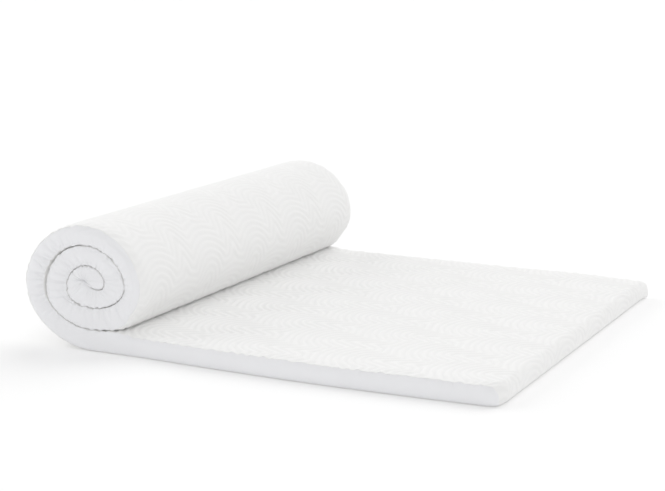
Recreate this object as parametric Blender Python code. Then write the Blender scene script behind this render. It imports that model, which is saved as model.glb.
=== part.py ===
"""A single-bed mattress topper, 90 x 190 x 4 cm, rolled up from its head end and lying flat at its foot.

Its cover is sewn from three pieces: one patterned wrap that goes round the filling lengthwise and over
both short ends, and a plain border along each long side. The wrap and its filling are one solid. Each
border is a domed strip of its own, set against the wrap's side.

The roll is drawn from one line, the line between two neighbouring turns. It is given by its reach: how
far from the roll's centre the tangent lies that faces a certain way. A change of that reach moves the
line squarely to itself, so the turns on its two sides keep one even gap all the way in.

X runs along the topper, Y across it and Z up. Angles go from straight down by way of the left and the
top, the way that the topper winds in. Points of the side view are (x, z) vectors.
"""

import math

import bmesh
import bpy
from mathutils import Vector

TURN = 2 * math.pi

# The topper as it is sold, in metres
WIDTH = 0.900
THICKNESS = 0.040

# The roll
TURN_GAP = 0.001  # air between two turns
PITCH = THICKNESS + TURN_GAP  # what a turn adds to the reach
FIRST_REACH = 0.0978  # the line between the first two turns, where it starts
OVAL = -0.0096  # the roll sags: lower and wider than round
EGG = -0.0019  # its lower half is a little fuller
CORE_ROUNDING = 0.55  # share of both that the inner turns lose
CORE_SHIFT = 0.0035  # the inner turns sit this far towards the flat part
LAST_ANGLE = math.radians(630)  # here the line leaves the turns and runs under the hidden end
SWELL = 0.003  # on the side away from the flat part the first turn is this much fuller
SLACK = 0.0035  # and the second hangs clear of it by this much more
SWELL_ANGLE = math.radians(100)
SWELL_SPREAD = math.radians(70)

# The fold at the roll's heart, where the topper is bent hard round its own end (from the centre)
END_LEAD = 0.020  # the line keeps its way this long before it turns under the end
CREASE_HANDLE = Vector((0.005, -0.0135))
CREASE = Vector((-0.0085, 0.0042))

# The flat part
FLAT_REACH = 0.800  # from the roll's centre to the foot
FOOT_TOP_RADIUS = 0.014
FOOT_SIDE_ROUNDING = 2.8  # the corner is rounder towards the long sides: added radius for each inset
FOOT_FLOOR_RADIUS = 0.008

# The long sides: how far in the outline lies at each depth or height, in pairs
BORDER_HEIGHT = 0.005
BORDER_GAP = 0.0003
WRAP_EDGE = ((0.0, 0.0042), (0.003, 0.0019), (0.008, 0.0006), (0.014, 0.0))  # depth, inset
BORDER_DOME = ((0.0, 0.0045), (0.0022, 0.0050), (0.0040, 0.0070), (BORDER_HEIGHT, 0.0110))  # height, inset
UNDERSIDE_SHARE = 0.45  # the weight presses the underside's edge flatter, so it takes less of the inset

# How finely the shapes are cut
TURN_STEP = math.radians(7.5)
END_CUTS = 10
FOOT_CUTS = 6
FLAT_CUTS = 8
WIDTH_CUTS = 4


def eased(share):
    """0 to 1 with a soft start and a soft stop."""
    share = min(max(share, 0.0), 1.0)
    return share * share * (3 - 2 * share)


def reach(angle):
    """How far from the centre the line's tangent lies that faces this way."""
    core = eased((angle - TURN) / (TURN / 4))
    sag = OVAL * math.cos(2 * angle) + EGG * math.cos(3 * angle)
    shift = CORE_SHIFT * math.sin(angle)
    return FIRST_REACH - PITCH * angle / TURN + sag * (1 - CORE_ROUNDING * core) - shift * core


CENTRE = Vector((0, reach(-TURN) - TURN_GAP / 2))  # the first turn just touches the floor


def turn_line(angle):
    """A point of the line between two turns, and the way out from the roll there."""
    step = 0.0001
    slope = (reach(angle + step) - reach(angle - step)) / (2 * step)
    out = Vector((-math.sin(angle), -math.cos(angle)))
    onward = Vector((-math.cos(angle), math.sin(angle)))
    return CENTRE + out * reach(angle) + onward * slope, out


def end_line(share):
    """The same for the rest of the line, under the hidden end and up to the crease."""
    start, out = turn_line(LAST_ANGLE)
    lead = start + Vector((out.y, -out.x)) * END_LEAD
    knots = [start, lead, CENTRE + CREASE_HANDLE, CENTRE + CREASE]
    while len(knots) > 2:
        knots = [a.lerp(b, share) for a, b in zip(knots, knots[1:])]
    onward = (knots[1] - knots[0]).normalized()
    return knots[0].lerp(knots[1], share), Vector((-onward.y, onward.x))


def swell(angle):
    """How far a turn's outer side stands out from the even line: the first turn's does, the second's sinks."""
    share = eased(1 - abs(angle % TURN - SWELL_ANGLE) / SWELL_SPREAD)
    return share * (SWELL if angle < 0 else -SLACK if angle < TURN else 0)


def outer_side(inset):
    """The topper's underside, from the floor round the roll and in to the crease."""
    offset = -TURN_GAP / 2 - inset
    points = []
    for i in range(round((LAST_ANGLE + TURN) / TURN_STEP) + 1):
        angle = TURN_STEP * i - TURN
        point, out = turn_line(angle)
        points.append(point + out * (offset + swell(angle)))
    for i in range(1, END_CUTS + 1):
        point, out = end_line(i / END_CUTS)
        points.append(point + out * offset)
    return points


def inner_side(inset):
    """The topper's top, from the crease out to where the flat part starts."""
    offset = TURN_GAP / 2 + inset
    points = []
    for i in range(END_CUTS):
        point, out = end_line(1 - i / END_CUTS)
        points.append(point + out * offset)
    for i in range(round(LAST_ANGLE / TURN_STEP) + 1):
        point, out = turn_line(LAST_ANGLE - TURN_STEP * i)
        points.append(point + out * offset)
    return points


def rounding(x, z, radius, first_angle):
    """A quarter of a circle at the foot, clockwise, with its box's outer corner at x, z."""
    side = 1 if first_angle > 0 else -1
    centre = Vector((x - radius, z - side * radius))
    angles = [first_angle - TURN / 4 * i / FOOT_CUTS for i in range(FOOT_CUTS + 1)]
    return [centre + radius * Vector((math.cos(a), math.sin(a))) for a in angles]


def outline(inset):
    """The topper seen from its long side, one closed line, drawn in by this much."""
    under = inset * UNDERSIDE_SHARE
    outer = outer_side(under)
    crease, out = end_line(1.0)
    tip = crease + Vector((out.y, -out.x)) * (TURN_GAP / 2 + inset)
    inner = inner_side(inset)

    foot = FLAT_REACH - inset
    floor_radius = max(FOOT_FLOOR_RADIUS - under, 0.001)
    room = THICKNESS - inset - under - floor_radius
    top_radius = min(FOOT_TOP_RADIUS + FOOT_SIDE_ROUNDING * inset, room)
    top = rounding(foot, THICKNESS - inset, top_radius, TURN / 4)
    floor = rounding(foot, under, floor_radius, 0.0)
    flat = [inner[-1].lerp(top[0], i / FLAT_CUTS) for i in range(1, FLAT_CUTS)]
    return outer + [tip] + inner + flat + top + floor


def solid(name, sections, location, material):
    """The outline carried along Y through the (y, inset) sections, as one closed object."""
    mesh = bpy.data.meshes.new(name)
    bm = bmesh.new()
    y, inset = sections[0]
    cap = bm.faces.new([bm.verts.new((x, y, z)) for x, z in outline(inset)])
    ends = [cap]
    for y, inset in sections[1:]:
        grown = bmesh.ops.extrude_face_region(bm, geom=[cap])["geom"]
        if cap not in ends:
            bmesh.ops.delete(bm, geom=[cap], context="FACES_ONLY")
        cap = next(item for item in grown if isinstance(item, bmesh.types.BMFace))
        for vert, (x, z) in zip(cap.verts, outline(inset)):
            vert.co = (x, y, z)
    bmesh.ops.triangulate(bm, faces=ends + [cap])
    bmesh.ops.recalc_face_normals(bm, faces=bm.faces)
    bm.to_mesh(mesh)
    bm.free()
    mesh.shade_smooth()
    mesh.set_sharp_from_angle(angle=math.radians(40))
    mesh.materials.append(material)
    thing = bpy.data.objects.new(name, mesh)
    thing.location = location
    bpy.context.collection.objects.link(thing)
    return thing


def fabric(name, colour, roughness):
    """A plain matt cloth."""
    material = bpy.data.materials.new(name)
    material.use_nodes = True
    shader = material.node_tree.nodes["Principled BSDF"]
    shader.inputs["Base Color"].default_value = (*colour, 1)
    shader.inputs["Roughness"].default_value = roughness
    shader.inputs["Metallic"].default_value = 0.0
    return material


def build():
    """The wrap with its filling, and the two borders."""
    for thing in list(bpy.data.objects):
        bpy.data.objects.remove(thing)

    patterned = fabric("patterned_knit", (0.86, 0.86, 0.85), 0.9)
    plain = fabric("plain_knit", (0.78, 0.78, 0.80), 0.9)
    xs = [point.x for point in outline(0.0)]
    middle = -(min(xs) + max(xs)) / 2
    seat = WIDTH / 2 - BORDER_HEIGHT
    side = seat - BORDER_GAP

    near = [(depth - side, inset) for depth, inset in WRAP_EDGE]
    inmost = near[-1][0]
    across = [(inmost * (1 - 2 * i / WIDTH_CUTS), 0.0) for i in range(1, WIDTH_CUTS)]
    far = [(-y, inset) for y, inset in near[::-1]]
    solid("cover_wrap", near + across + far, (middle, 0, 0), patterned)

    solid("side_border_front", [(-h, inset) for h, inset in BORDER_DOME], (middle, -seat, 0), plain)
    solid("side_border_back", BORDER_DOME, (middle, seat, 0), plain)


build()
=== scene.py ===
"""Dresses a single-bed mattress topper, rolled up from its head end and lying flat at its foot.

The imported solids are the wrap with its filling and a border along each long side. Here the wrap is
remade as two closed pieces of patterned knit, the flat part and the roll, which meet out of sight under
the roll. Each border is remade as one domed strip of plain knit that follows the wrap's side from the
foot in to the roll's heart, with the creases that rolling pressed into it.

X runs along the topper, Y across it and Z up. The side view is drawn in (x, z) from the roll's centre
line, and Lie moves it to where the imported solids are. Angles go from straight down by way of the left
and the top, the way that the topper winds in. Lengths are in metres.
"""

import logging
import math
from collections.abc import Callable
from dataclasses import dataclass
from enum import Enum, IntEnum
from typing import NamedTuple

import bmesh
import bpy
import numpy as np
from bpy.types import ID, Material, Mesh, Node, NodeSocket, Object, World
from mathutils import Matrix, Vector


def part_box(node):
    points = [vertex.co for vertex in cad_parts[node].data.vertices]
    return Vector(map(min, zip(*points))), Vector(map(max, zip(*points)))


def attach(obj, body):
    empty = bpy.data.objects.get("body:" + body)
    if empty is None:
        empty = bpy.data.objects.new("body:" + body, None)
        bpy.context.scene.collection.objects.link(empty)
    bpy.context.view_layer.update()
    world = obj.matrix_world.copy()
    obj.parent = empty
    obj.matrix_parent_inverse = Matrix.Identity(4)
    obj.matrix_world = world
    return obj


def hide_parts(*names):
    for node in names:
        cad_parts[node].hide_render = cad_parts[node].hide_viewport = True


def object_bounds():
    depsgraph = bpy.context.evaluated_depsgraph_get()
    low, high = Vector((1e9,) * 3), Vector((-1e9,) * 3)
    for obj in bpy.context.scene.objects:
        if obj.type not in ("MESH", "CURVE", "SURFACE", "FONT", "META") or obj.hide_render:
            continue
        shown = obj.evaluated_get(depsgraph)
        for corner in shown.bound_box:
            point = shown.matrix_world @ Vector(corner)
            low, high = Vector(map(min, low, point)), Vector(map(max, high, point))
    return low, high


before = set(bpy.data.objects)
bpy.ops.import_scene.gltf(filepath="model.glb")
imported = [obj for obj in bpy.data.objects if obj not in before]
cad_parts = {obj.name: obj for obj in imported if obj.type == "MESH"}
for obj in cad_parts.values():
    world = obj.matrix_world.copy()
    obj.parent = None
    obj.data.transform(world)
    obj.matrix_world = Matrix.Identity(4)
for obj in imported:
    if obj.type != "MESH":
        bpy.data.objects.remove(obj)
CAD_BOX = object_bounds()

Array = np.ndarray
Pair = tuple[float, float]
Triple = tuple[float, float, float]

LOG = logging.getLogger("topper")
TURN = 2 * math.pi
DEGREE = TURN / 360
CLOTH_MAP = "cloth"
GROOVE = "groove"
PATTERNED = "patterned_knit"
PLAIN = "plain_knit"
RIM_DEPTH = 0.014  # how deep from its side the wrap starts to draw in

# How finely the lines are drawn that the pieces are cut from
ANGLE_STEP = 1.5  # in degrees
FLAT_POINTS = 300
CORNER_POINTS = 30
ROUND_POINTS = 25


class Side(Enum):
    """The topper's two long sides, by the way that each faces along Y."""

    FRONT = -1
    BACK = 1


class Seam(Enum):
    """A border's two seams."""

    TOP = "with the top panel"
    UNDER = "with the underside"

    def away(self, across: Array) -> Array:
        """How far from it places across the border are, from 0 to 1. Places go from -1 up to 1 at the top."""
        return (1 - across) / 2 if self is Seam.TOP else (1 + across) / 2


class MixInput(IntEnum):
    """The inputs of a Mix node that is set to colours."""

    SHARE = 0
    FIRST = 6
    SECOND = 7


def eased(share: Array) -> Array:
    """0 to 1 with a soft start and a soft stop."""
    share = np.clip(share, 0.0, 1.0)
    return share * share * (3 - 2 * share)


@dataclass(frozen=True)
class Ramp:
    """Rises softly from 0 to 1, from one place on and over this far."""

    start: float
    over: float

    def at(self, place: Array) -> Array:
        """Its height at each place."""
        return eased((place - self.start) / self.over)


@dataclass(frozen=True)
class Hump:
    """Rises softly to its height at one place, from 0 at the spread on both sides."""

    height: float
    centre: float
    spread: float

    def at(self, place: Array) -> Array:
        """Its height at each place."""
        return self.height * eased(1 - np.abs(place - self.centre) / self.spread)


@dataclass(frozen=True)
class Waver:
    """An uneven wave, from a few sines that never fall into step."""

    length: float
    seed: int
    terms: int = 5

    def at(self, place: Array) -> Array:
        """The wave's height at each place, mostly from -1 to 1."""
        rng = np.random.default_rng(self.seed)
        total = np.zeros_like(np.asarray(place, dtype=float))
        for _ in range(self.terms):
            length = self.length * rng.uniform(0.6, 1.6)
            total = total + np.sin(TURN * place / length + rng.uniform(0, TURN))
        return total / math.sqrt(self.terms)


def paired(x: Array, z: Array) -> Array:
    """Rows from two coordinates."""
    return np.stack([x, z], axis=1)


def angles_between(first: float, last: float) -> Array:
    """Even angles from one to another, both given in degrees."""
    step = math.copysign(ANGLE_STEP, last - first)
    return np.radians(np.arange(first, last + step / 2, step))


def walked(points: Array) -> Array:
    """How far along a line each of its points lies."""
    steps = np.linalg.norm(np.diff(points, axis=0), axis=1)
    return np.concatenate([[0.0], np.cumsum(steps)])


def looked_up(at: Array, along: Array, table: Array) -> Array:
    """A table with several columns, read between its rows. Their places along it rise."""
    return np.stack([np.interp(at, along, column) for column in table.T], axis=1)


@dataclass(frozen=True)
class GapLine:
    """The line between two neighbouring turns of the roll, as in the solids' source."""

    pitch: float = 0.041
    gap: float = 0.001
    first_reach: float = 0.0978
    oval: float = -0.0096
    egg: float = -0.0019
    core_rounding: float = 0.55
    core_shift: float = 0.0035
    last_angle: float = 630 * DEGREE
    end_lead: float = 0.020
    crease_handle: Pair = (0.005, -0.0135)
    crease: Pair = (-0.0085, 0.0042)

    def reach(self, angle: Array) -> Array:
        """How far from the centre the line's tangent lies that faces this way."""
        core = eased((angle - TURN) / (TURN / 4))
        sag = self.oval * np.cos(2 * angle) + self.egg * np.cos(3 * angle)
        even = self.first_reach - self.pitch * angle / TURN
        return even + sag * (1 - self.core_rounding * core) - self.core_shift * np.sin(angle) * core

    def centre(self) -> Array:
        """The roll's centre, so high that its first turn just touches the floor."""
        return np.array([0.0, float(self.reach(np.array(-TURN))) - self.gap / 2])

    def at(self, angle: Array) -> tuple[Array, Array]:
        """The line where it turns.

        Args:
            angle: Which way the line faces, from straight down.

        Returns:
            Its points, and the way out from the roll at each.
        """
        step = 0.0001
        slope = (self.reach(angle + step) - self.reach(angle - step)) / (2 * step)
        out = paired(-np.sin(angle), -np.cos(angle))
        onward = paired(-np.cos(angle), np.sin(angle))
        return self.centre() + out * self.reach(angle)[:, None] + onward * slope[:, None], out

    def end(self, share: Array) -> tuple[Array, Array]:
        """The same for the rest of the line, from 0 to 1, under the hidden end and up to the crease."""
        (start,), (out,) = self.at(np.array([self.last_angle]))
        lead = start + np.array([out[1], -out[0]]) * self.end_lead
        knots = [start, lead, self.centre() + self.crease_handle, self.centre() + self.crease]
        share = share[:, None]
        while len(knots) > 2:
            knots = [a + (b - a) * share for a, b in zip(knots, knots[1:])]
        onward = knots[1] - knots[0]
        onward /= np.linalg.norm(onward, axis=1)[:, None]
        return knots[0] + (knots[1] - knots[0]) * share, paired(-onward[:, 1], onward[:, 0])


@dataclass(frozen=True)
class SideView:
    """The topper seen from its long side: its two panels, in the middle of the width and at the seams.

    An inset is how far a panel draws in at its seam. The foot's upper roundings are (along, up).
    """

    line: GapLine = GapLine()
    thickness: float = 0.040
    foot: float = 0.800
    foot_radii: Pair = (0.014, 0.014)
    foot_floor_radius: float = 0.012
    border_foot_radii: Pair = (0.024, 0.029)
    border_foot_squareness: float = 2.8
    border_floor_radius: float = 0.004

    # On its left the first turn is fuller, and the second hangs clear of it
    left: Hump = Hump(1.0, 100 * DEGREE, 70 * DEGREE)
    swell: float = 0.003
    slack: float = 0.0035

    # The seams: least drawn in between turns, most round the roll's free rim
    foot_inset: float = 0.0018
    floor_inset: float = 0.0020
    pressed_inset: float = 0.0005
    free_inset: float = 0.0042
    rim_inset: float = 0.0085
    rim: Hump = Hump(1.0, -95 * DEGREE, 105 * DEGREE)
    off_floor: Ramp = Ramp(-TURN, 1.2)
    covered: Ramp = Ramp(-0.5, 0.5)
    uncovered: Ramp = Ramp(0.03, 0.06)
    slack_inset: Hump = Hump(0.0010, 115 * DEGREE, 85 * DEGREE)
    pucker: float = 0.0009
    pucker_limits: Pair = (-0.95, 1.5)
    puckers: Waver = Waver(0.13, 41)
    top_puckers_shift: float = 50.0

    # Where the roll lies on the flat part it sags, and the flat part swells a little beside it
    sag: Hump = Hump(0.0080, -26 * DEGREE, 22 * DEGREE)
    lift: Hump = Hump(0.0042, 0.064, 0.050)
    contact_gap: float = 0.0004
    contact_end: float = -0.01

    def parting(self) -> float:
        """Where along X the flat part goes over into the roll, hidden under it."""
        return float(self.line.at(np.array([0.0]))[0][0, 0])

    def inner_inset(self, angle: Array, shift: float) -> Array:
        """How far a panel draws in between turns. The shift gives each panel its own puckers."""
        puckers = np.clip(self.puckers.at(angle + shift), *self.pucker_limits)
        return self.pressed_inset + self.slack_inset.at(angle) + self.pucker * puckers

    def outer_inset(self, angle: Array) -> Array:
        """The same for the underside, also round the outside of the roll."""
        free = self.floor_inset + (self.free_inset - self.floor_inset) * self.off_floor.at(angle)
        free = free + (self.rim_inset - free) * self.rim.at(angle)
        inner = self.inner_inset(angle, 0.0)
        return np.where(angle < 0, free + (inner - free) * self.covered.at(angle), inner)

    def top_inset(self, x: Array) -> Array:
        """The same for the flat part's top, from where the roll lies on it out to the foot."""
        return self.pressed_inset + (self.free_inset - self.pressed_inset) * self.uncovered.at(x)

    def top(self, x: Array) -> Array:
        """The flat part's height."""
        return self.thickness + self.lift.at(x)

    def outer(self, angle: Array, seam: bool) -> Array:
        """Points of the underside where it turns, in the middle or at the seam.

        Args:
            angle: Which way the underside faces.
            seam: Whether at the seam, and not in the middle.

        Returns:
            The points. Where the roll sags onto the flat part, that part's top stops them.
        """
        points, out = self.line.at(angle)
        fuller = np.where(angle < 0, self.swell, np.where(angle < TURN, -self.slack, 0.0))
        offset = self.left.at(angle % TURN) * fuller + self.sag.at(angle)
        offset = offset - self.line.gap / 2 - (self.outer_inset(angle) if seam else 0.0)
        x, z = (points + out * offset[:, None]).T
        rest = self.top(x) - (self.top_inset(x) if seam else 0.0) + self.contact_gap
        over_flat = (angle > -TURN / 4) & (angle < self.contact_end)
        return paired(x, np.where(over_flat, np.maximum(z, rest), z))

    def inner(self, angle: Array, seam: bool) -> Array:
        """The same for the top panel, inside the roll."""
        points, out = self.line.at(angle)
        inset = self.inner_inset(angle, self.top_puckers_shift) if seam else np.zeros_like(angle)
        return points + out * (self.line.gap / 2 + inset)[:, None]

    def end(self, share: Array, side: int, seam: bool) -> Array:
        """Points beside the line's hidden end: side is -1 for the underside and 1 for the top panel."""
        points, out = self.line.end(share)
        return points + out * side * self._end_offset(seam)

    def tip(self, seam: bool) -> Array:
        """The one point at the crease where both panels meet."""
        (crease,), (out,) = self.line.end(np.array([1.0]))
        return (crease + np.array([out[1], -out[0]]) * self._end_offset(seam))[None, :]

    def _end_offset(self, seam: bool) -> float:
        """How far a panel keeps from the line's hidden end."""
        return self.line.gap / 2 + (self.pressed_inset if seam else 0.0)

    def foot_line(self, seam: bool) -> tuple[Array, Array]:
        """The foot's end, in the middle or at the seam: its upper rounding, and the one to the floor."""
        turn = np.linspace(0, TURN / 4, ROUND_POINTS)
        wide, tall = self.foot_radii
        upper = paired(self.foot - wide + wide * np.sin(turn), self.thickness - tall + tall * np.cos(turn))
        if seam:
            upper = self.border_corner(turn)
        foot = self.foot - (self.foot_inset if seam else 0.0)
        floor = self.floor_inset if seam else 0.0
        low = self.border_floor_radius if seam else self.foot_floor_radius
        return upper, paired(foot - low + low * np.cos(turn), floor + low - low * np.sin(turn))

    def border_corner(self, turn: Array) -> Array:
        """The seam round the foot's upper corner, squarer than a circle, for a quarter turn from its top."""
        wide, tall = self.border_foot_radii
        power = 2 / self.border_foot_squareness
        x = self.foot - self.foot_inset - wide + wide * np.sin(turn) ** power
        z = self.thickness - self.free_inset - tall + tall * np.maximum(np.cos(turn), 0.0) ** power
        return paired(x, z)


@dataclass(frozen=True)
class Lie:
    """How the topper lies, apart from its side view: where it is, and how far it strays from straight.

    The near edge bows out, the foot's corners pull in, the seams waver and the filling is a little uneven.
    """

    middle: float
    half_width: float
    view: SideView

    # The near edge's bow: how far out, between which places along, and from where across
    bow: float = 0.011
    bow_span: Pair = (0.118, 0.757)
    bow_across: Ramp = Ramp(0.15, 0.28)

    # The foot's corners, near and far, pulled in across and along
    pull: Pair = (0.010, -0.001)
    pull_length: float = 0.036
    pull_most: float = 1.1
    pull_across: Ramp = Ramp(0.38, 0.06)
    corner: Pair = (0.006, -0.004)
    corner_depth: float = 0.030
    corner_along: Ramp = Ramp(0.740, 0.055)

    # The seams' waver: how strong and how deep from the side. On the roll it goes by angle and by radius
    seam_waver: Waver = Waver(0.030, 11)
    seam_strength: float = 0.0009
    seam_depth: float = 0.007
    scallops: Waver = Waver(0.014, 31)
    scallop_strength: float = 0.0005
    scallop_depth: float = 0.004
    waver_along: Ramp = Ramp(0.02, 0.10)
    waver_height: float = 0.036
    back_shift: float = 3.0
    roll_waver: Waver = Waver(0.034, 23)
    angle_pace: float = 0.08
    radius_pace: float = 4.0
    heart_radius: float = 0.03
    floor_height: float = 0.02

    # The filling's waves, as (share, one sine, another), each sine as (along, across, start)
    flat_height: float = 0.045
    filling: float = 0.0007
    filling_along: Ramp = Ramp(0.10, 0.12)
    filling_waves: tuple = (
        (1.0, (13.1, 5.0, 0.6), (-2.1, 9.7, 1.9)),
        (0.6, (23.0, -11.0, 4.1), (0.0, 17.3, 0.4)),
    )

    def place(self, points: Array, across: Array) -> Array:
        """Side-view points at their places across the topper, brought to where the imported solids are.

        Args:
            points: The (x, z) points.
            across: Each point's y, as on a straight topper.

        Returns:
            The points in space.
        """
        depth = np.maximum(self.half_width - np.abs(across), 0.0)
        x, z = self._wavering(*points.T, across, depth)
        z = z + self._filled(x, z, across)
        first, last = self.bow_span
        wave = np.where((x > first) & (x < last), np.sin(math.pi * (x - first) / (last - first)), 0.0)
        y = across - self.bow * wave * self.bow_across.at(-across)
        at_foot = np.clip(1 - (self.view.foot - x) / self.pull_length, 0.0, self.pull_most) ** 2
        y = y + np.where(across < 0, *self.pull) * at_foot * self.pull_across.at(np.abs(across))
        at_side = np.clip(1 - depth / self.corner_depth, 0, 1) ** 2
        x = x - np.where(across < 0, *self.corner) * at_side * self.corner_along.at(x)
        return np.stack([x + self.middle, y, z], axis=1)

    def _wavering(
        self, x: Array, z: Array, across: Array, depth: Array
    ) -> tuple[Array, Array]:
        """Lets sewn edges waver, up and down on the flat part and in and out on the roll."""
        rim = np.exp(-depth / self.seam_depth) * self.seam_strength
        shift = np.where(across < 0, 0.0, self.back_shift)
        lying = self.waver_along.at(x) * (z < self.flat_height)
        near_rim = np.exp(-depth / self.scallop_depth) * (across < 0)
        rise = rim * self.seam_waver.at(x + shift) + self.scallops.at(x) * self.scallop_strength * near_rim
        z = z + rise * lying * np.clip(z / self.waver_height, 0, 1) ** 2
        height = z - self.view.line.centre()[1]
        far = np.maximum(np.hypot(x, height), 1e-6)
        turned = np.arctan2(height, x) * self.angle_pace + far * self.radius_pace
        push = rim * (1 - lying) * self.roll_waver.at(turned + shift) * np.clip(z / self.floor_height, 0, 1)
        push = push * np.clip(far / self.heart_radius, 0, 1) / far
        return x + push * x, z + push * height

    def _filled(self, x: Array, z: Array, across: Array) -> Array:
        """The slight unevenness that soft foam gives the flat part's top."""
        rise = 0.0
        for wave, *sines in self.filling_waves:
            for along, aside, start in sines:
                wave = wave * np.sin(along * x + aside * across + start)
            rise = rise + wave
        lying = self.filling_along.at(x) * (z < self.flat_height)
        return self.filling * rise * lying * np.clip(z / self.view.thickness, 0, 1)


@dataclass(frozen=True)
class ContourKnit:
    """The wrap's knit: rounded ridges that run at one distance from each other round staggered arrowheads.

    Each arrowhead opens towards the foot. A point's level rises evenly away from the nearest one's two
    arms and falls from row to row. A groove runs wherever the level passes a whole number of pitches.
    """

    row: float = 0.105
    repeat: float = 0.184
    pitch: float = 0.0185
    steepness: float = 1.40
    opening: float = 25 * DEGREE
    rounding: float = 0.006
    softness: float = 0.004
    sharpness: float = 1.3
    relief: float = 0.0021
    first_row: float = 0.030
    first_head: float = -0.294
    rows_felt: range = range(-2, 4)

    def groove(self, along: Array, across: Array) -> Array:
        """How deep in a groove each point of the cloth is, from 0 on a ridge to 1."""
        below = np.floor((along - self.first_row) / self.row)
        levels = []
        for step in self.rows_felt:
            row = below + step
            place = self.first_row + row * self.row
            middle = self.first_head + row * self.repeat / 2
            aside = (across - middle + self.repeat / 2) % self.repeat - self.repeat / 2
            aside = np.hypot(aside, self.rounding)
            ahead = along - place
            beside_arm = ahead * math.cos(self.opening) + aside * math.sin(self.opening) > 0
            from_arm = aside * math.cos(self.opening) - ahead * math.sin(self.opening)
            away = np.where(beside_arm, from_arm, np.hypot(ahead, aside))
            levels.append(self.steepness * away - place)
        lowest = np.min(levels, axis=0)
        blend = sum(np.exp((lowest - level) / self.softness) for level in levels)
        level = lowest - self.softness * np.log(blend)
        return (0.5 + 0.5 * np.cos(TURN * level / self.pitch)) ** self.sharpness


class Run(NamedTuple):
    """A stretch of a loop: how far along it ends, how long its cells are and whether they are cut finely."""

    end: float
    cell: float
    fine: bool


class Loop:
    """A closed line round one piece of the wrap, seen from the long side and put together by stretches."""

    def __init__(self, cloth_start: float) -> None:
        """Starts empty, from this far along the cloth."""
        self.cloth_start = cloth_start
        self.runs: list[Run] = []
        self._parts: list[tuple[Array, ...]] = []

    def add(
        self,
        middle: Array,
        seam: Array,
        rim: float | Array = RIM_DEPTH,
        ridged: float | Array = 0.0,
    ) -> float:
        """Adds a stretch.

        Args:
            middle: Its points in the middle of the width.
            seam: The same points at the seams.
            rim: How deep from the side they start to draw in.
            ridged: How much of the knit's relief they show.

        Returns:
            How far along the loop the stretch ends.
        """
        count = len(middle)
        self._parts.append((middle, seam, np.broadcast_to(rim, count), np.broadcast_to(ridged, count)))
        return float(walked(np.concatenate([part[0] for part in self._parts]))[-1])

    def read(self, along: Array) -> tuple[Array, ...]:
        """The loop at places along it: middle, seam, the way out, rim, place on the cloth and relief."""
        middle, seam, rim, ridged = (np.concatenate(column) for column in zip(*self._parts))
        tangent = np.roll(middle[:-1], -1, axis=0) - np.roll(middle[:-1], 1, axis=0)
        tangent = np.concatenate([tangent, tangent[:1]])
        tangent /= np.maximum(np.linalg.norm(tangent, axis=1), 1e-9)[:, None]
        walk = walked(middle)
        table = [middle, seam, -tangent[:, 1], tangent[:, 0], rim, self.cloth_start + walk, ridged]
        row = looked_up(along, walk, np.column_stack(table))
        return row[:, 0:2], row[:, 2:4], row[:, 4:6], *row[:, 6:].T


def grid_mesh(
    name: str, columns: int, rows: int, fine: Callable[[int, int], bool] | None = None, cuts: int = 0
) -> Mesh:
    """A flat grid in cell counts, cut more finely where asked.

    Args:
        name: The mesh's name.
        columns: Cells along X.
        rows: Cells along Y.
        fine: Tells for a cell corner whether it is in a part that is cut finely.
        cuts: How often each cell there is cut.

    Returns:
        The mesh, with x from 0 to columns and y from 0 to rows.
    """
    bm = bmesh.new()
    bmesh.ops.create_grid(bm, x_segments=columns, y_segments=rows, size=0.5)
    bmesh.ops.translate(bm, vec=(0.5, 0.5, 0.0), verts=bm.verts)
    bmesh.ops.scale(bm, vec=(columns, rows, 1.0), verts=bm.verts)
    if fine:
        chosen = {vert for vert in bm.verts if fine(round(vert.co.x), round(vert.co.y))}
        edges = [edge for edge in bm.edges if chosen.issuperset(edge.verts)]
        bmesh.ops.subdivide_edges(bm, edges=edges, cuts=cuts, use_grid_fill=True, use_single_edge=True)
    mesh = bpy.data.meshes.new(name)
    bm.to_mesh(mesh)
    bm.free()
    return mesh


def corners_of(mesh: Mesh) -> Array:
    """A mesh's vertices as rows."""
    points = np.zeros(len(mesh.vertices) * 3, np.float32)
    mesh.vertices.foreach_get("co", points)
    return points.reshape(-1, 3).astype(float)


def lay(mesh: Mesh, points: Array, cloth: Array, groove: Array) -> None:
    """Moves a grid's corners to their places and keeps what the material reads.

    Args:
        mesh: The flat grid.
        points: A place for each corner.
        cloth: Each corner's place on the cloth, along and across, kept as the UV map.
        groove: How deep in a groove or crease each corner is, kept as an attribute that the material turns
            into painted shade.
    """
    mesh.vertices.foreach_set("co", points.astype(np.float32).ravel())
    corners = np.zeros(len(mesh.loops), np.int32)
    mesh.loops.foreach_get("vertex_index", corners)
    layer = mesh.uv_layers.new(name=CLOTH_MAP)
    layer.uv.foreach_set("vector", cloth[corners].astype(np.float32).ravel())
    kept = mesh.attributes.new(GROOVE, "FLOAT", "POINT")
    kept.data.foreach_set("value", groove.astype(np.float32))


def close(mesh: Mesh) -> None:
    """Joins a bent grid's meeting edges, fills what is still open and turns every face outwards."""
    bm = bmesh.new()
    bm.from_mesh(mesh)
    bmesh.ops.remove_doubles(bm, verts=bm.verts, dist=0.000002)
    open_edges = [edge for edge in bm.edges if edge.is_boundary]
    caps = bmesh.ops.holes_fill(bm, edges=open_edges, sides=0)["faces"] if open_edges else []
    bmesh.ops.triangulate(bm, faces=[face for face in caps if len(face.verts) > 4])
    bmesh.ops.recalc_face_normals(bm, faces=bm.faces)
    bm.to_mesh(mesh)
    bm.free()
    mesh.shade_smooth()
    mesh.set_sharp_from_angle(angle=52 * DEGREE)


def added(name: str, data: ID) -> Object:
    """A new object in the scene."""
    thing = bpy.data.objects.new(name, data)
    bpy.context.scene.collection.objects.link(thing)
    return thing


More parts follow.
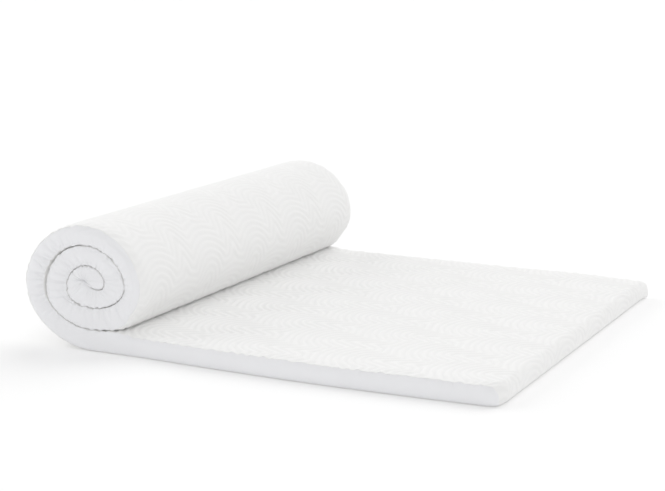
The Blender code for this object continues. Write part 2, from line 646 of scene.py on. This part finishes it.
class Signal:
    """A shader value that Python's operators work on, each adding its Math node."""

    def __init__(self, bench: "Bench", socket: NodeSocket) -> None:
        """Wraps a socket of a material that is being built."""
        self.bench = bench
        self.socket = socket

    def _with(self, operation: str, *values: "Signal | float") -> "Signal":
        """The result of one Math node."""
        return self.bench.add("ShaderNodeMath", {"operation": operation}, dict(enumerate(values)))["Value"]

    def __add__(self, other: "Signal | float") -> "Signal":
        """Sum."""
        return self._with("ADD", self, other)

    __radd__ = __add__

    def __mul__(self, other: "Signal | float") -> "Signal":
        """Product."""
        return self._with("MULTIPLY", self, other)

    __rmul__ = __mul__

    def cos(self) -> "Signal":
        """Its cosine."""
        return self._with("COSINE", self)


class Bench:
    """Builds the nodes of one material, or of the studio's sky."""

    def __init__(self, owner: Material | World, shader: str = "Principled BSDF") -> None:
        """Starts with the one shader that a new material or sky has."""
        owner.use_nodes = True
        self.tree = owner.node_tree
        self.shader = self.tree.nodes[shader]

    def add(self, kind: str, settings: dict, inputs: dict[str | int, object]) -> dict[str, Signal]:
        """Adds a node.

        Args:
            kind: Its type.
            settings: Its own settings, set first.
            inputs: A link or a value for each input, by name or number.

        Returns:
            Its outputs by name.
        """
        node = self.tree.nodes.new(kind)
        for key, value in settings.items():
            setattr(node, key, value)
        self.feed(node, inputs)
        return {output.name: Signal(self, output) for output in node.outputs if output.enabled}

    def feed(self, node: Node, inputs: dict[str | int, object]) -> None:
        """Links each of these inputs to its signal, or sets its own value."""
        for key, value in inputs.items():
            if isinstance(value, Signal):
                self.tree.links.new(value.socket, node.inputs[key])
            else:
                node.inputs[key].default_value = value

    def noise(self, place: Signal, scale: float, detail: float, roughness: float) -> Signal:
        """A noise, from 0 to 1."""
        inputs = {"Vector": place, "Scale": scale, "Detail": detail, "Roughness": roughness}
        return self.add("ShaderNodeTexNoise", {}, inputs)["Fac"]

    def mix(self, share: Signal, first: tuple[float, ...], second: tuple[float, ...]) -> Signal:
        """Goes from one colour to another."""
        inputs = {MixInput.SHARE: share, MixInput.FIRST: (*first, 1.0), MixInput.SECOND: (*second, 1.0)}
        return self.add("ShaderNodeMix", {"data_type": "RGBA"}, inputs)["Result"]


@dataclass(frozen=True)
class KnitFinish:
    """A matt white knit: its colour on a ridge, and a darker one for random tone and for shade painted down
    in its grooves and creases.
    """

    name: str
    colour: Triple
    darker_tone_and_shade_colour: Triple
    course: float = 0.0016  # how far apart its rows of stitches are
    stitch_width: float = 1.15  # in courses
    stitch_depth: float = 0.00012
    fuzz_depth: float = 0.9  # in stitch depths

    # How far each goes to the darker colour: painted shade in grooves and creases, random tone, fuzz
    painted_groove_shade: float = 0.75
    tone_shade: float = 0.35
    fuzz_shade: float = 0.12

    def material(self) -> Material:
        """Builds the material."""
        material = bpy.data.materials.new(self.name)
        bench = Bench(material)
        cloth = bench.add("ShaderNodeUVMap", {"uv_map": CLOTH_MAP}, {})["UV"]
        place = bench.add("ShaderNodeSeparateXYZ", {}, {"Vector": cloth})
        spot = bench.add("ShaderNodeTexCoord", {}, {})["Object"]
        fuzz = bench.noise(spot, 900.0, 3.0, 0.6)
        tone = bench.noise(spot, 14.0, 2.0, 0.5)
        groove = bench.add("ShaderNodeAttribute", {"attribute_name": GROOVE}, {})["Fac"]
        rows = (place["X"] * (TURN / self.course)).cos()
        stitches = rows * (place["Y"] * (TURN / (self.course * self.stitch_width))).cos()
        relief = stitches * (self.stitch_depth / 2) + fuzz * (self.stitch_depth * self.fuzz_depth)
        # Painted shade: the colour darkens down in the knit's grooves and the border's creases, on top of
        # random tone and fuzz
        shade = tone * self.tone_shade + fuzz * self.fuzz_shade + groove * self.painted_groove_shade
        raised = bench.add("ShaderNodeBump", {}, {"Strength": 1.0, "Distance": 1.0, "Height": relief})
        finish = {
            "Base Color": bench.mix(shade, self.colour, self.darker_tone_and_shade_colour),
            "Roughness": 0.86,
            "Sheen Weight": 0.25,
            "Sheen Roughness": 0.55,
            "Specular IOR Level": 0.25,
            "Normal": raised["Normal"],
        }
        bench.feed(bench.shader, finish)
        return material


@dataclass(frozen=True)
class Wrap:
    """The patterned wrap with its filling, in two closed pieces: the flat part and the roll."""

    view: SideView
    lie: Lie
    knit: ContourKnit
    half: float
    underside_start: float = 1.62  # how far along the cloth the roll's underside is

    # The mesh: rows near a seam by their depth, cells elsewhere, and longer ones out of sight
    side_rows: tuple[float, ...] = (0.0, 0.004, 0.014)
    cell: float = 0.0118
    under_cell: float = 0.0177
    inside_cell: float = 0.01475
    row: float = 0.0122
    cuts: int = 3
    floor_points: int = 60
    cut_points: int = 9
    seen: Pair = (-340 * DEGREE, -4 * DEGREE)

    # The rims, where it draws in to its seams, and the lip that it makes there
    rim_power: float = 2.7
    flat_rim: float = 0.015
    foot_rim: float = 0.030
    foot_rim_along: Ramp = Ramp(0.66, 0.12)
    roll_rim_more: float = 0.008
    bend_from: float = 0.690  # from here on the top's seam is shorter than its middle
    lip: float = 0.0038
    lip_depth: float = 0.0022
    lip_spread: float = 0.0028
    lip_edge: float = 0.0006

    # How much of the knit's relief shows: less on the roll, at the foot and where the cloth is taut
    foot_relief: float = 0.65
    flat_relief: Ramp = Ramp(0.02, 0.02)
    roll_relief: float = 0.60
    roll_relief_in: Ramp = Ramp(-350 * DEGREE, 0.2)
    roll_relief_out: Ramp = Ramp(0.0, 0.15)
    taut_depth: float = 0.026
    far_taut: float = 0.85
    near_taut: float = 0.4

    def flat_loop(self) -> Loop:
        """The line round the flat part: its top, the foot, the underside and the hidden cut."""
        view, start = self.view, self.view.parting()
        upper, lower = view.foot_line(seam=False)
        seam_upper, seam_lower = view.foot_line(seam=True)
        loop = Loop(start)
        x = np.linspace(start, upper[0, 0], FLAT_POINTS)
        squeeze = (seam_upper[0, 0] - self.bend_from) / (upper[0, 0] - self.bend_from)
        seam_x = np.where(x > self.bend_from, self.bend_from + (x - self.bend_from) * squeeze, x)
        top = paired(x, view.top(x))
        seam_top = paired(seam_x, view.top(x) - view.top_inset(x))
        rim = self.flat_rim + (self.foot_rim - self.flat_rim) * self.foot_rim_along.at(x)
        loop.add(top, seam_top, rim, self.flat_relief.at(x))
        loop.add(upper[1:], seam_upper[1:], self.foot_rim, np.linspace(1.0, self.foot_relief, len(upper) - 1))
        seen = loop.add(lower, seam_lower, self.foot_rim, np.linspace(self.foot_relief, 0.0, len(lower)))
        floor = np.linspace(lower[-1, 0], start, self.floor_points)[1:]
        seam_floor = np.linspace(seam_lower[-1, 0], start, self.floor_points)[1:]
        under = paired(floor, np.zeros_like(floor))
        hidden = loop.add(under, paired(seam_floor, np.full_like(floor, view.floor_inset)))
        last = self._close(loop, under[-1], top[0], rising=True)
        loop.runs = [
            Run(seen, self.cell, True),
            Run(hidden, self.under_cell, False),
            Run(last, self.cell, False),
        ]
        return loop

    def roll_loop(self) -> Loop:
        """The line round the roll: its outside, in to the crease, back along the top and the hidden cut."""
        view = self.view
        angle = angles_between(-360.0, 630.0)
        shares = np.linspace(0.0, 1.0, ROUND_POINTS)
        loop = Loop(self.underside_start)
        ridged = self.roll_relief * self.roll_relief_in.at(angle) * self.roll_relief_out.at(-angle)
        outer = view.outer(angle, False)
        loop.add(outer, view.outer(angle, True), RIM_DEPTH + self.roll_rim_more * view.rim.at(angle), ridged)
        first_seen, last_seen = np.interp(self.seen, angle, walked(outer))
        loop.add(view.end(shares[1:], -1, False), view.end(shares[1:], -1, True))
        loop.add(view.tip(False), view.tip(True))
        loop.add(view.end(shares[::-1], 1, False), view.end(shares[::-1], 1, True))
        back = angles_between(630.0, 0.0)[1:]
        inner = view.inner(back, False)
        hidden = loop.add(inner, view.inner(back, True))
        last = self._close(loop, inner[-1], outer[0], rising=False)
        loop.runs = [
            Run(first_seen, self.cell, False),
            Run(last_seen, self.cell, True),
            Run(hidden, self.inside_cell, False),
            Run(last, self.cell, False),
        ]
        return loop

    def _close(self, loop: Loop, first: Array, last: Array, rising: bool) -> float:
        """Closes a loop with the hidden cut, up or down, and tells how far along it that ends."""
        view, x = self.view, self.view.parting()
        share = np.linspace(0.0, 1.0, self.cut_points)[1:, None]
        low = np.array([x, view.floor_inset])
        high = np.array([x, view.thickness - view.pressed_inset])
        seam = low + (high - low) * (share if rising else 1 - share)
        return loop.add(first + (last - first) * share, seam)

    def _columns(self, loop: Loop) -> tuple[Array, list[bool]]:
        """Where the grid's columns lie along a loop, and which of them are cut finely."""
        places, fine, start = [0.0], [], 0.0
        for run in loop.runs:
            count = max(round((run.end - start) / run.cell), 3)
            places.extend(np.linspace(start, run.end, count + 1)[1:])
            fine.extend([run.fine] * count)
            start = run.end
        return np.array(places), fine

    def _rows(self) -> Array:
        """Where the grid's rows lie across the topper, closer together along the seams."""
        near = np.array(self.side_rows) - self.half
        count = round(-2 * near[-1] / self.row)
        across = np.linspace(near[-1], -near[-1], count + 1)
        return np.concatenate([near[:-1], across, -near[:-1][::-1]])

    def piece(self, name: str, loop: Loop, material: Material) -> Object:
        """Builds one of the two pieces, round its loop."""
        places, fine = self._columns(loop)
        rows = self._rows()
        rims = len(self.side_rows) - 1

        def is_fine(column: int, row: int) -> bool:
            """Whether a cell corner lies in a stretch that shows, or along a seam."""
            shown = fine[min(column, len(fine) - 1)] or (column > 0 and fine[column - 1])
            return shown or row <= rims or row >= len(rows) - 1 - rims

        mesh = grid_mesh(name, len(places) - 1, len(rows) - 1, is_fine, self.cuts)
        cells = corners_of(mesh)
        along = np.interp(cells[:, 0], np.arange(len(places)), places)
        across = np.interp(cells[:, 1], np.arange(len(rows)), rows)
        points, cloth, groove = self._bent(loop, along, across)
        lay(mesh, self.lie.place(points, self._lipped(across)), paired(cloth, across), groove)
        close(mesh)
        mesh.materials.append(material)
        return added(name, mesh)

    def _lipped(self, across: Array) -> Array:
        """Lets the cloth stand out a little just before it turns in at a seam."""
        depth = self.half - np.abs(across)
        share = np.exp(-(((depth - self.lip_depth) / self.lip_spread) ** 2))
        return across + np.sign(across) * self.lip * share * (1 - np.exp(-depth / self.lip_edge))

    def _bent(self, loop: Loop, along: Array, across: Array) -> tuple[Array, ...]:
        """Side-view points of the surface with its relief, their places on the cloth, and the grooves."""
        middle, seam, out, rim, cloth, ridged = loop.read(along)
        depth = self.half - np.abs(across)
        drawn = np.clip(1 - depth / rim, 0.0, 1.0) ** self.rim_power
        far_taut = self.far_taut * eased(1 - depth / self.taut_depth)
        taut = np.where(across > 0, far_taut, self.near_taut * drawn)
        groove = self.knit.groove(cloth, across) * ridged * (1 - taut)
        points = middle + (seam - middle) * drawn[:, None] - out * (self.knit.relief * groove)[:, None]
        return points, cloth, groove


@dataclass(frozen=True)
class Ribbon:
    """A border's run from the foot in to the roll's heart: its low seam, its high one and the way it faces.

    The low seam is the underside's. The angle falls below a full turn back along the flat part.
    """

    low: Array
    high: Array
    angle: Array

    def pace(self) -> Array:
        """How far along each point is, from 0 to 1, by the mean of the midline's way and the low seam's."""
        middle, low = walked((self.low + self.high) / 2), walked(self.low)
        return (middle / middle[-1] + low / low[-1]) / 2


@dataclass(frozen=True)
class Creases:
    """A run of soft troughs across a border, from one of its seams. Their measures are averages."""

    start: Seam
    spacing: float
    width: float
    depth: float  # as a share of the border's dome
    extent: float  # across the border, as a share of its width
    zones: tuple[Hump, ...]  # how strong they are along the border, by the angle in degrees
    seed: int
    slant: float = 0.012
    bend: float = 0.006
    faint: float = 0.04  # weaker ones are left out

    def share(self, along: Array, ribbon: Ribbon, across: Array) -> Array:
        """How much of the dome's height the troughs take away at each point.

        Args:
            along: How far along the border's low seam the points are.
            ribbon: The border's run.
            across: Their places across it, from -1 at the low seam to 1.
        """
        rng = np.random.default_rng(self.seed)
        away = self.start.away(across)
        walk = walked(ribbon.low)
        total = np.zeros_like(along)
        place = 0.0
        while place < walk[-1]:
            place += self.spacing * rng.uniform(0.55, 1.5)
            facing = math.degrees(np.interp(place, walk, ribbon.angle))
            full = max(zone.at(facing) for zone in self.zones)
            width = self.width * rng.uniform(0.6, 1.5)
            depth = self.depth * rng.uniform(0.55, 1.25) * full
            extent = self.extent * rng.uniform(0.5, 1.35)
            slant = rng.uniform(-self.slant, self.slant)
            bend = rng.uniform(-self.bend, self.bend)
            if full < self.faint:
                continue
            near = np.abs(along - place) < 6 * width + 0.02
            off = along[near] - place - slant * away[near] - bend * away[near] ** 2
            left = np.clip(1 - away[near] / extent, 0, 1) ** 0.8
            spread = width * (0.8 + 0.9 * away[near])
            total[near] += depth * left * np.exp(-((off / spread) ** 2))
        return total


@dataclass(frozen=True)
class Hollow:
    """A soft fall of a border towards one seam, where the cloth is pulled in."""

    start: Seam
    fall: Hump  # as a share of the border's dome, by the angle in degrees
    extent: float  # across the border, as a share of its width

    def share(self, angle: Array, across: Array) -> Array:
        """How much of the dome's height it takes away, by where the border faces and the place across it."""
        left = np.clip(1 - self.start.away(across) / self.extent, 0, 1)
        return self.fall.at(np.degrees(angle)) * left**1.4


@dataclass(frozen=True)
class SideBorder:
    """A plain border: a domed strip along one long side, creased where the topper is rolled."""

    side: Side
    view: SideView
    lie: Lie
    seat: float
    cell: float = 0.0018
    cells_across: int = 26
    cells_behind: int = 3

    # The dome: how high, how flat on top and how round at its seams, and how wide a strip has it in full
    height: float = 0.0056
    dome_flat: float = 2.6
    dome_round: float = 0.74
    full_width: float = 0.016
    narrow_power: float = 0.7
    fuller: Hump = Hump(0.22, 135.0, 420.0)
    most_taken: float = 0.85
    # The most of a crease that is kept for the shade painted into the creases
    deepest_crease_shade: float = 1.5
    tuck: float = 0.0003
    tuck_width: float = 0.01

    # The run: the flat part's metres for a radian, and where the top panel ends at the heart
    flat_pace: float = 0.1
    cloth_half_width: float = 0.018
    heart: Ramp = Ramp(270.0, 150.0)
    end_points: int = 22

    def hollows(self) -> list[Hollow]:
        """Where a seam pulls it in: round the roll, inside its turns and along the flat part's top."""
        return [
            Hollow(Seam.TOP, Hump(0.6, -258.0, 95.0), 0.34),
            Hollow(Seam.TOP, Hump(0.8, 105.0, 85.0), 0.34),
            Hollow(Seam.UNDER, Hump(2.0, -95.0, 115.0), 0.34),
            Hollow(Seam.TOP, Hump(0.5, 480.0, 160.0), 0.40),
            Hollow(Seam.TOP, Hump(0.9, -560.0, 235.0), 0.22),
        ]

    def creases(self) -> list[Creases]:
        """The runs of creases: pressed folds, fine ones at the heart, and the small puckers of both seams."""
        shift = 0 if self.side is Side.FRONT else 100
        left, inner_left = Hump(1.0, -258.0, 95.0), Hump(0.85, 105.0, 100.0)
        folds = (left, Hump(0.25, -120.0, 110.0), Hump(0.5, -20.0, 70.0), inner_left, Hump(0.4, 250.0, 80.0))
        pressed = (left, Hump(0.8, 105.0, 80.0), Hump(0.5, 455.0, 70.0))
        heart = (Hump(0.6, 330.0, 75.0), Hump(1.0, 480.0, 150.0), Hump(0.8, 640.0, 120.0))
        every = (Hump(0.4, -360.0, 4000.0), Hump(1.0, 150.0, 560.0))
        return [
            Creases(Seam.TOP, 0.017, 0.0030, 1.30, 1.00, folds, 3 + shift),
            Creases(Seam.TOP, 0.011, 0.0024, 1.60, 0.42, pressed, 23 + shift),
            Creases(Seam.UNDER, 0.034, 0.0040, 0.40, 0.70, folds, 5 + shift),
            Creases(Seam.TOP, 0.012, 0.0024, 0.70, 1.05, heart, 7 + shift),
            Creases(Seam.TOP, 0.013, 0.0019, 0.34, 0.34, every, 13 + shift),
            Creases(Seam.UNDER, 0.015, 0.0018, 0.40, 0.26, every, 17 + shift),
            Creases(Seam.TOP, 0.048, 0.0060, 0.22, 1.60, every, 19 + shift),
        ]

    def ribbon(self) -> Ribbon:
        """The strip's two seams, from the foot's end in to the crease."""
        view, parting = self.view, self.view.parting()
        corner_high = view.border_corner(np.linspace(TURN / 4, 0, CORNER_POINTS))
        x, foot = corner_high[:, 0], corner_high[0, 0]
        radius = view.border_floor_radius
        inside = np.clip(x - (foot - radius), 0, radius)
        corner_low = paired(x, view.floor_inset + radius - np.sqrt(radius**2 - inside**2))
        corner_low[0] = corner_high[0] = (corner_low[0] + corner_high[0]) / 2

        x = np.linspace(foot - view.border_foot_radii[0], parting, FLAT_POINTS)[1:]
        flat_low = paired(x, np.full_like(x, view.floor_inset))
        flat_high = paired(x, view.top(x) - view.top_inset(x))
        flat_angle = -TURN - (x - parting) / self.flat_pace

        tip = view.tip(True)
        turns = angles_between(-360.0 + ANGLE_STEP, self.heart.start)
        heart = angles_between(self.heart.start + ANGLE_STEP, 630.0)
        heart_high = view.end(self.heart.at(np.degrees(heart)), 1, True)
        heart_high[np.degrees(heart) >= self.heart.start + self.heart.over] = tip[0]
        shares = np.linspace(0, 1, self.end_points)[1:]
        end_low = view.end(shares, -1, True)
        end_low[-1] = tip[0]
        end_high = np.repeat(tip, len(shares), axis=0)

        low = [corner_low, flat_low, view.outer(turns, True), view.outer(heart, True), end_low]
        high = [corner_high, flat_high, view.inner(turns + TURN, True), heart_high, end_high]
        corner_angle = np.full(CORNER_POINTS, flat_angle[0])
        angle = [corner_angle, flat_angle, turns, heart, np.full(len(shares), heart[-1])]
        return Ribbon(np.concatenate(low), np.concatenate(high), np.concatenate(angle))

    def piece(self, name: str, material: Material) -> Object:
        """Builds the border."""
        ribbon = self.ribbon()
        pace = ribbon.pace()
        low_walk = walked(ribbon.low)
        columns = round(low_walk[-1] / self.cell)
        front, back = self.cells_across, self.cells_behind
        mesh = grid_mesh(name, columns, front + back)
        cells = corners_of(mesh)
        column, row = cells[:, 0] / columns, cells[:, 1]
        across = np.where(row <= front, -np.cos(math.pi * row / front), 1 - 2 * (row - front) / back)
        low, high = looked_up(column, pace, ribbon.low), looked_up(column, pace, ribbon.high)
        angle = np.interp(column, pace, ribbon.angle)
        along = np.interp(column, pace, low_walk)
        width = np.linalg.norm(high - low, axis=1)

        creased = sum(run.share(along, ribbon, across) for run in self.creases())
        taken = creased + sum(hollow.share(angle, across) for hollow in self.hollows())
        dome = (1 - np.abs(across) ** self.dome_flat) ** self.dome_round
        dome = dome * self.height * np.clip(width / self.full_width, 0, 1) ** self.narrow_power
        fullness = 1 + self.fuller.at(np.degrees(angle))
        fullness = fullness - self.most_taken * (1 - np.exp(-taken / self.most_taken))
        tucked = np.where(row > front + back - 0.5, 0.0, -self.tuck * np.clip(width / self.tuck_width, 0, 1))
        stand = np.where(row <= front, dome * fullness, tucked)
        points = low + (high - low) * ((across + 1) / 2)[:, None]
        placed = self.lie.place(points, self.side.value * (self.seat + stand))
        # The creases' depth is kept for the material, which paints shade into them
        groove = np.where(row <= front, np.clip(creased, 0.0, self.deepest_crease_shade), 0.0)
        lay(mesh, placed, paired(along, across * self.cloth_half_width), groove)
        close(mesh)
        mesh.materials.append(material)
        return added(name, mesh)


@dataclass(frozen=True)
class Lamp:
    """A broad soft light far off: where it shines from, and how bright it is beside the main light."""

    name: str
    source: Triple
    share: float
    width: float = 60 * DEGREE

    def hang(self, main: float) -> None:
        """Adds it to the scene, for a main light of this strength."""
        data = bpy.data.lights.new(self.name, "SUN")
        data.energy = main * self.share
        data.angle = self.width
        thing = added(self.name, data)
        thing.rotation_mode = "QUATERNION"
        thing.rotation_quaternion = Vector(self.source).to_track_quat("Z", "Y")


@dataclass(frozen=True)
class Studio:
    """The pale floor, the soft light and the camera.

    The light's lamps are listed. The camera's place, angles and lens were fitted to the photo's outline.
    """

    floor_size: float = 30.0
    floor_colour: Triple = (0.93, 0.93, 0.93)
    floor_glow: float = 0.075
    sky: float = 0.35
    gamma: float = 1.4
    main_light: float = 1.5
    lamps: tuple[Lamp, ...] = (
        Lamp("window_behind", (0.2, 1.0, 1.0), 1.0),
        Lamp("window_left", (-1.0, 0.0, 0.5), 0.9),
        Lamp("front_fill", (0.7, -0.8, 0.8), 0.5),
    )
    lens: float = 90.12
    sensor: float = 36.0
    clip_end: float = 60.0
    yaw: float = math.radians(115.5405)
    pitch: float = math.radians(11.4379)
    roll: float = math.radians(0.4394)
    place: Triple = (1.6751, -2.9218, 0.7992)

    def floor(self) -> None:
        """Lays the floor under the topper."""
        mesh = grid_mesh("studio_floor", 1, 1)
        mesh.transform(Matrix.Scale(self.floor_size, 4) @ Matrix.Translation((-0.5, -0.5, 0.0)))
        material = bpy.data.materials.new("studio_floor")
        bench = Bench(material)
        finish = {
            "Base Color": (*self.floor_colour, 1.0),
            "Roughness": 0.95,
            "Specular IOR Level": 0.1,
            "Emission Color": (1.0, 1.0, 1.0, 1.0),
            "Emission Strength": self.floor_glow,
        }
        bench.feed(bench.shader, finish)
        mesh.materials.append(material)
        thing = added("studio_floor", mesh)

    def light(self) -> None:
        """Soft light from all around, pale shadows as in a product photograph, and white behind it all."""
        scene = bpy.context.scene
        scene.view_settings.view_transform = "Standard"
        scene.view_settings.gamma = self.gamma
        scene.world = bpy.data.worlds.new("studio")
        bench = Bench(scene.world, "Background")
        seen = bench.add("ShaderNodeLightPath", {}, {})["Is Camera Ray"]
        strength = seen * (1 - self.sky) + self.sky
        bench.feed(bench.shader, {"Strength": strength, "Color": (1.0, 1.0, 1.0, 1.0)})
        for lamp in self.lamps:
            lamp.hang(self.main_light)

    def camera(self, middle: float) -> None:
        """Sets the camera where the photograph was taken from, moved along X with the side view."""
        ahead, down = math.cos(self.pitch), -math.sin(self.pitch)
        forward = Vector((math.cos(self.yaw) * ahead, math.sin(self.yaw) * ahead, down))
        level = Vector((math.sin(self.yaw), -math.cos(self.yaw), 0.0))
        up = level.cross(forward)
        right = math.cos(self.roll) * level + math.sin(self.roll) * up
        up = math.cos(self.roll) * up - math.sin(self.roll) * level
        data = bpy.data.cameras.new("camera")
        data.lens = self.lens
        data.sensor_fit = "HORIZONTAL"
        data.sensor_width = self.sensor
        data.clip_end = self.clip_end
        thing = added("camera", data)
        turn = Matrix((right, up, -forward)).transposed().to_4x4()
        thing.matrix_world = Matrix.Translation(Vector(self.place) + Vector((middle, 0.0, 0.0))) @ turn
        bpy.context.scene.camera = thing


def finish_piece(thing: Object, node: str) -> None:
    """Hands a piece to the frame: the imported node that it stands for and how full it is."""
    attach(thing, "root")
    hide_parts(node)
    thing.data.calc_loop_triangles()
    LOG.info("%s: %d triangles", thing.name, len(thing.data.loop_triangles))


def main() -> None:
    """Builds the topper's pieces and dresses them."""
    logging.basicConfig(level=logging.INFO, format="%(name)s %(message)s")
    view = SideView()
    border_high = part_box("side_border_front")[1]
    wrap_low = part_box("cover_wrap")[0]
    middle = CAD_BOX[1].x - view.foot
    lie = Lie(middle, -wrap_low.y, view)
    studio = Studio()
    studio.camera(middle)
    studio.floor()
    studio.light()
    LOG.info("studio: camera, floor and light")

    # Each finish: its own colour, and a darker one for random tone and for the shade painted into grooves and
    # creases
    patterned = KnitFinish(PATTERNED, (0.925, 0.922, 0.912), (0.84, 0.838, 0.83)).material()
    plain = KnitFinish(PLAIN, (0.875, 0.878, 0.90), (0.79, 0.792, 0.815)).material()

    wrap = Wrap(view, lie, ContourKnit(), -wrap_low.y)
    for name, loop in (("wrap_flat_part", wrap.flat_loop()), ("wrap_roll", wrap.roll_loop())):
        finish_piece(wrap.piece(name, loop, patterned), "cover_wrap")
    for name, side in (("border_front", Side.FRONT), ("border_back", Side.BACK)):
        border = SideBorder(side, view, lie, -border_high.y)
        finish_piece(border.piece(name, plain), f"side_{name}")

    bpy.context.view_layer.update()


if __name__ == "__main__":
    main()
